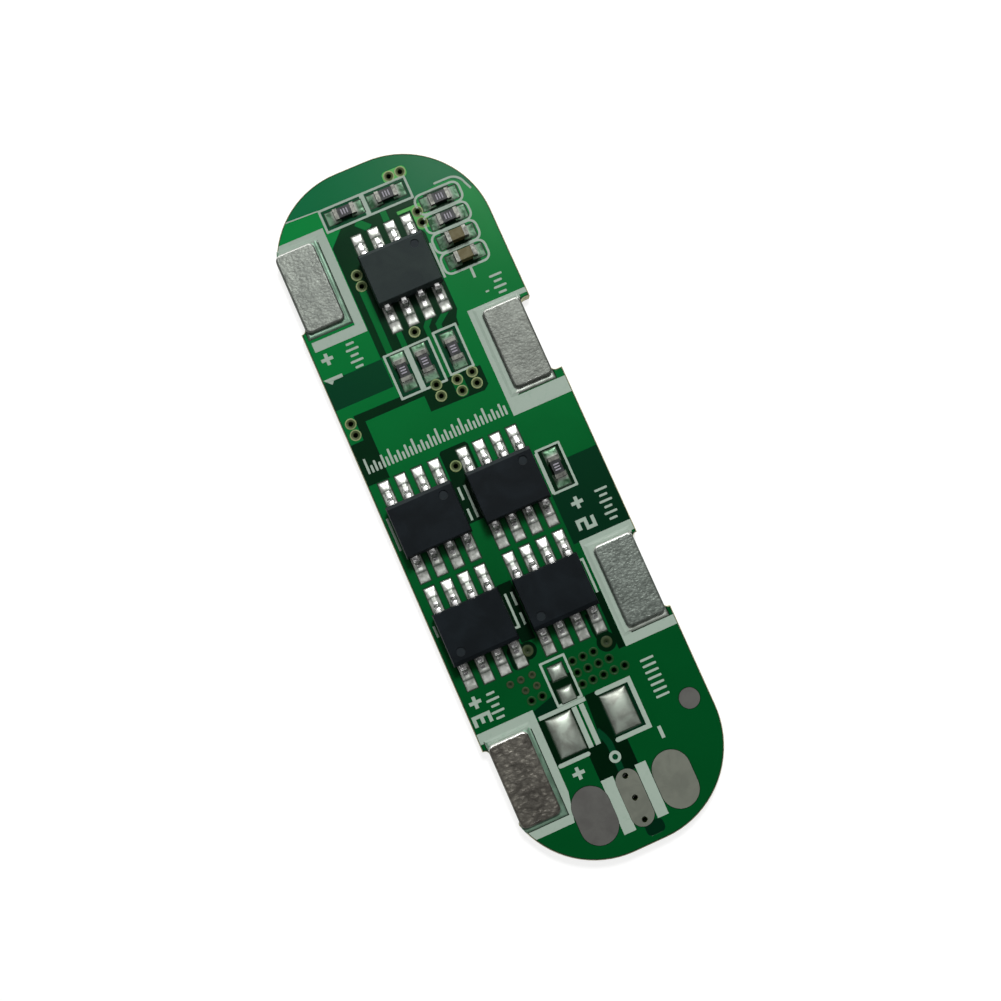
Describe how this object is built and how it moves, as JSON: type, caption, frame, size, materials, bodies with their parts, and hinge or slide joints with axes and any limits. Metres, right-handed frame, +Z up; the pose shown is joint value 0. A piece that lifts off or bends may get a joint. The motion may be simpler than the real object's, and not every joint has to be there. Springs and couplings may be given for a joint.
{
  "type": "battery management board",
  "caption": "Slim round-ended circuit board that guards a three-cell pack, with nickel cell tabs, gull-wing packages, chip parts and solder lands.",
  "frame": {"origin": "centre of the board's underside", "axes": "+Z up through the fitted side, +Y along the board toward the end with the controller, +X across the board"},
  "size_m": [0.016, 0.052, 0.0026],
  "materials": {
    "masked_laminate": "green solder mask with a soft gloss over glass-epoxy laminate",
    "nickel_strip": "dull crinkled nickel strip",
    "solder": "bright reflowed tin solder",
    "tinned_lead": "satin tin plating on formed copper leads",
    "moulding_compound": "fine matte black moulding compound",
    "resistor_glaze": "dark glaze on white ceramic",
    "capacitor_ceramic": "tan fired ceramic",
    "end_cap": "tin-plated end terminations",
    "tinned_land": "matte levelled tin on copper"
  },
  "bodies": {
    "root": {"circuit_board": "masked_laminate", "first_cell_positive_tab": "nickel_strip", "first_cell_negative_tab": "nickel_strip", "second_cell_positive_tab": "nickel_strip", "third_cell_positive_tab": "nickel_strip", "first_cell_positive_tab_solder": "solder", "first_cell_negative_tab_solder": "solder", "second_cell_positive_tab_solder": "solder", "third_cell_positive_tab_solder": "solder", "controller_body": "moulding_compound", "controller_leads": "tinned_lead", "controller_solder": "solder", "transistor_1_body": "moulding_compound", "transistor_1_leads": "tinned_lead", "transistor_1_solder": "solder", "transistor_2_body": "moulding_compound", "transistor_2_leads": "tinned_lead", "transistor_2_solder": "solder", "transistor_3_body": "moulding_compound", "transistor_3_leads": "tinned_lead", "transistor_3_solder": "solder", "transistor_4_body": "moulding_compound", "transistor_4_leads": "tinned_lead", "transistor_4_solder": "solder", "resistor_1_body": "resistor_glaze", "resistor_1_end_caps": "end_cap", "resistor_2_body": "resistor_glaze", "resistor_2_end_caps": "end_cap", "resistor_3_body": "resistor_glaze", "resistor_3_end_caps": "end_cap", "resistor_4_body": "resistor_glaze", "resistor_4_end_caps": "end_cap", "resistor_5_body": "resistor_glaze", "resistor_5_end_caps": "end_cap", "resistor_6_body": "resistor_glaze", "resistor_6_end_caps": "end_cap", "resistor_7_body": "resistor_glaze", "resistor_7_end_caps": "end_cap", "resistor_8_body": "resistor_glaze", "resistor_8_end_caps": "end_cap", "capacitor_1_body": "capacitor_ceramic", "capacitor_1_end_caps": "end_cap", "capacitor_2_body": "capacitor_ceramic", "capacitor_2_end_caps": "end_cap", "chip_solder": "solder", "positive_output_solder": "solder", "negative_output_solder": "solder", "spare_footprint_solder": "solder", "positive_wire_land": "tinned_land", "sense_wire_land": "tinned_land", "negative_wire_land": "tinned_land", "alignment_mark": "tinned_land"}
  },
  "joints": []
}
